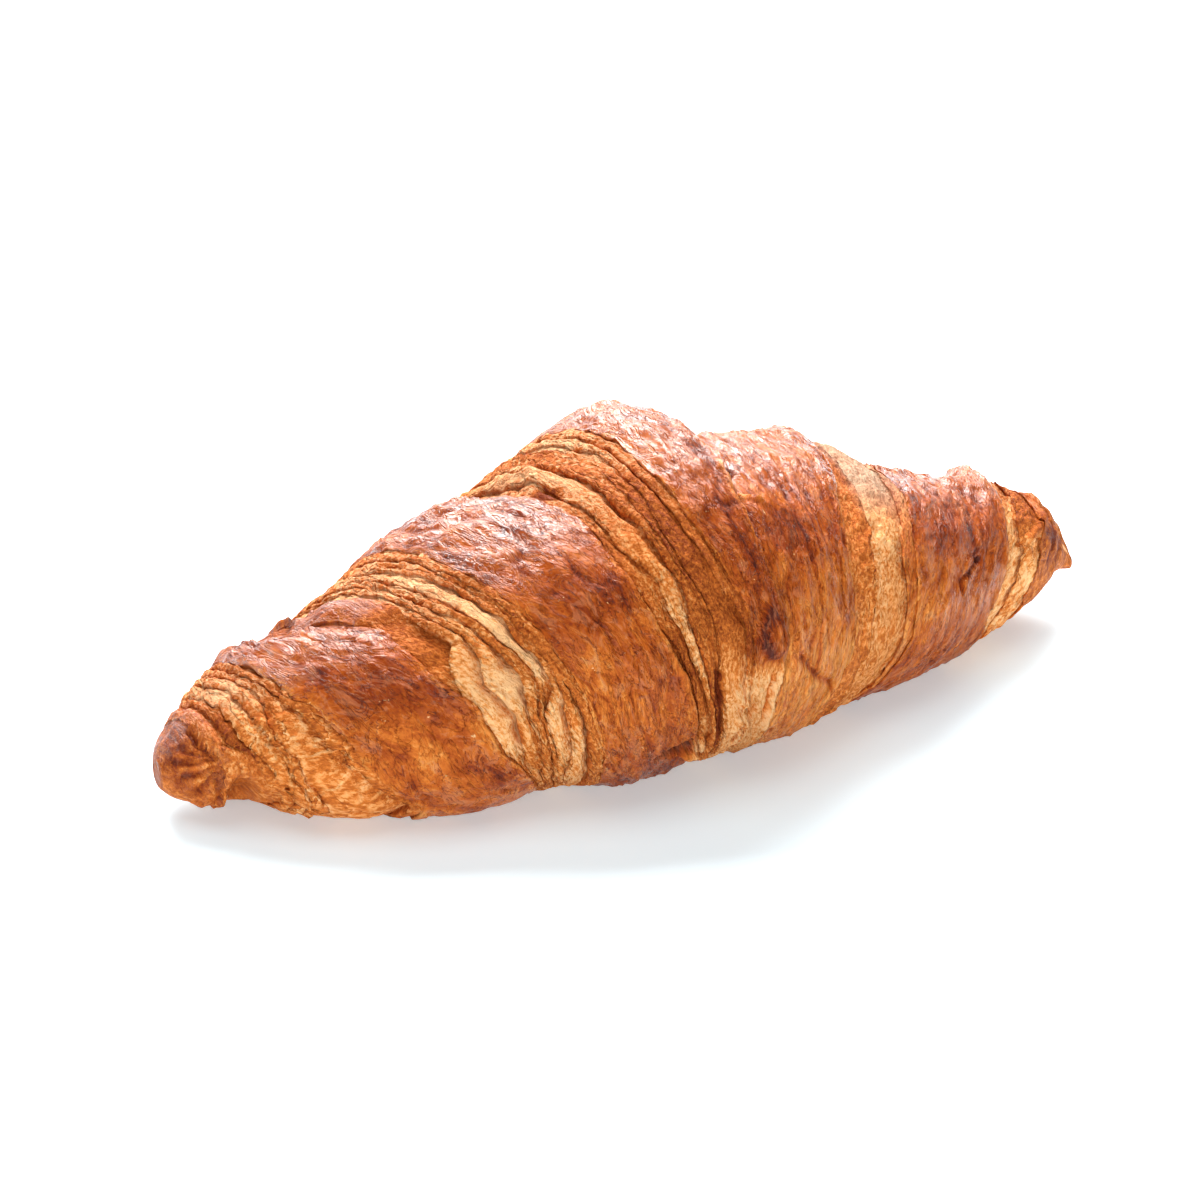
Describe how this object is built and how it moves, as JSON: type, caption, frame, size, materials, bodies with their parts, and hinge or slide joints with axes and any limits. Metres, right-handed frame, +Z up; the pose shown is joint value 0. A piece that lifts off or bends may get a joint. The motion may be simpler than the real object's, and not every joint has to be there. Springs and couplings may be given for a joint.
{
  "type": "croissant",
  "caption": "Baked butter croissant, a rolled triangle of laminated dough with stepped helical plies, tapered ends and a flat base.",
  "frame": {"origin": "middle of the footprint's bounding box, on the plane the croissant rests on", "axes": "+X along the roll towards the raised right tip, -Y the front, where the dough's point is tucked down, +Z up"},
  "size_m": [0.176, 0.0728, 0.0544],
  "materials": {
    "baked_crust": "satin"
  },
  "bodies": {
    "root": {"croissant": "baked_crust"}
  },
  "joints": []
}
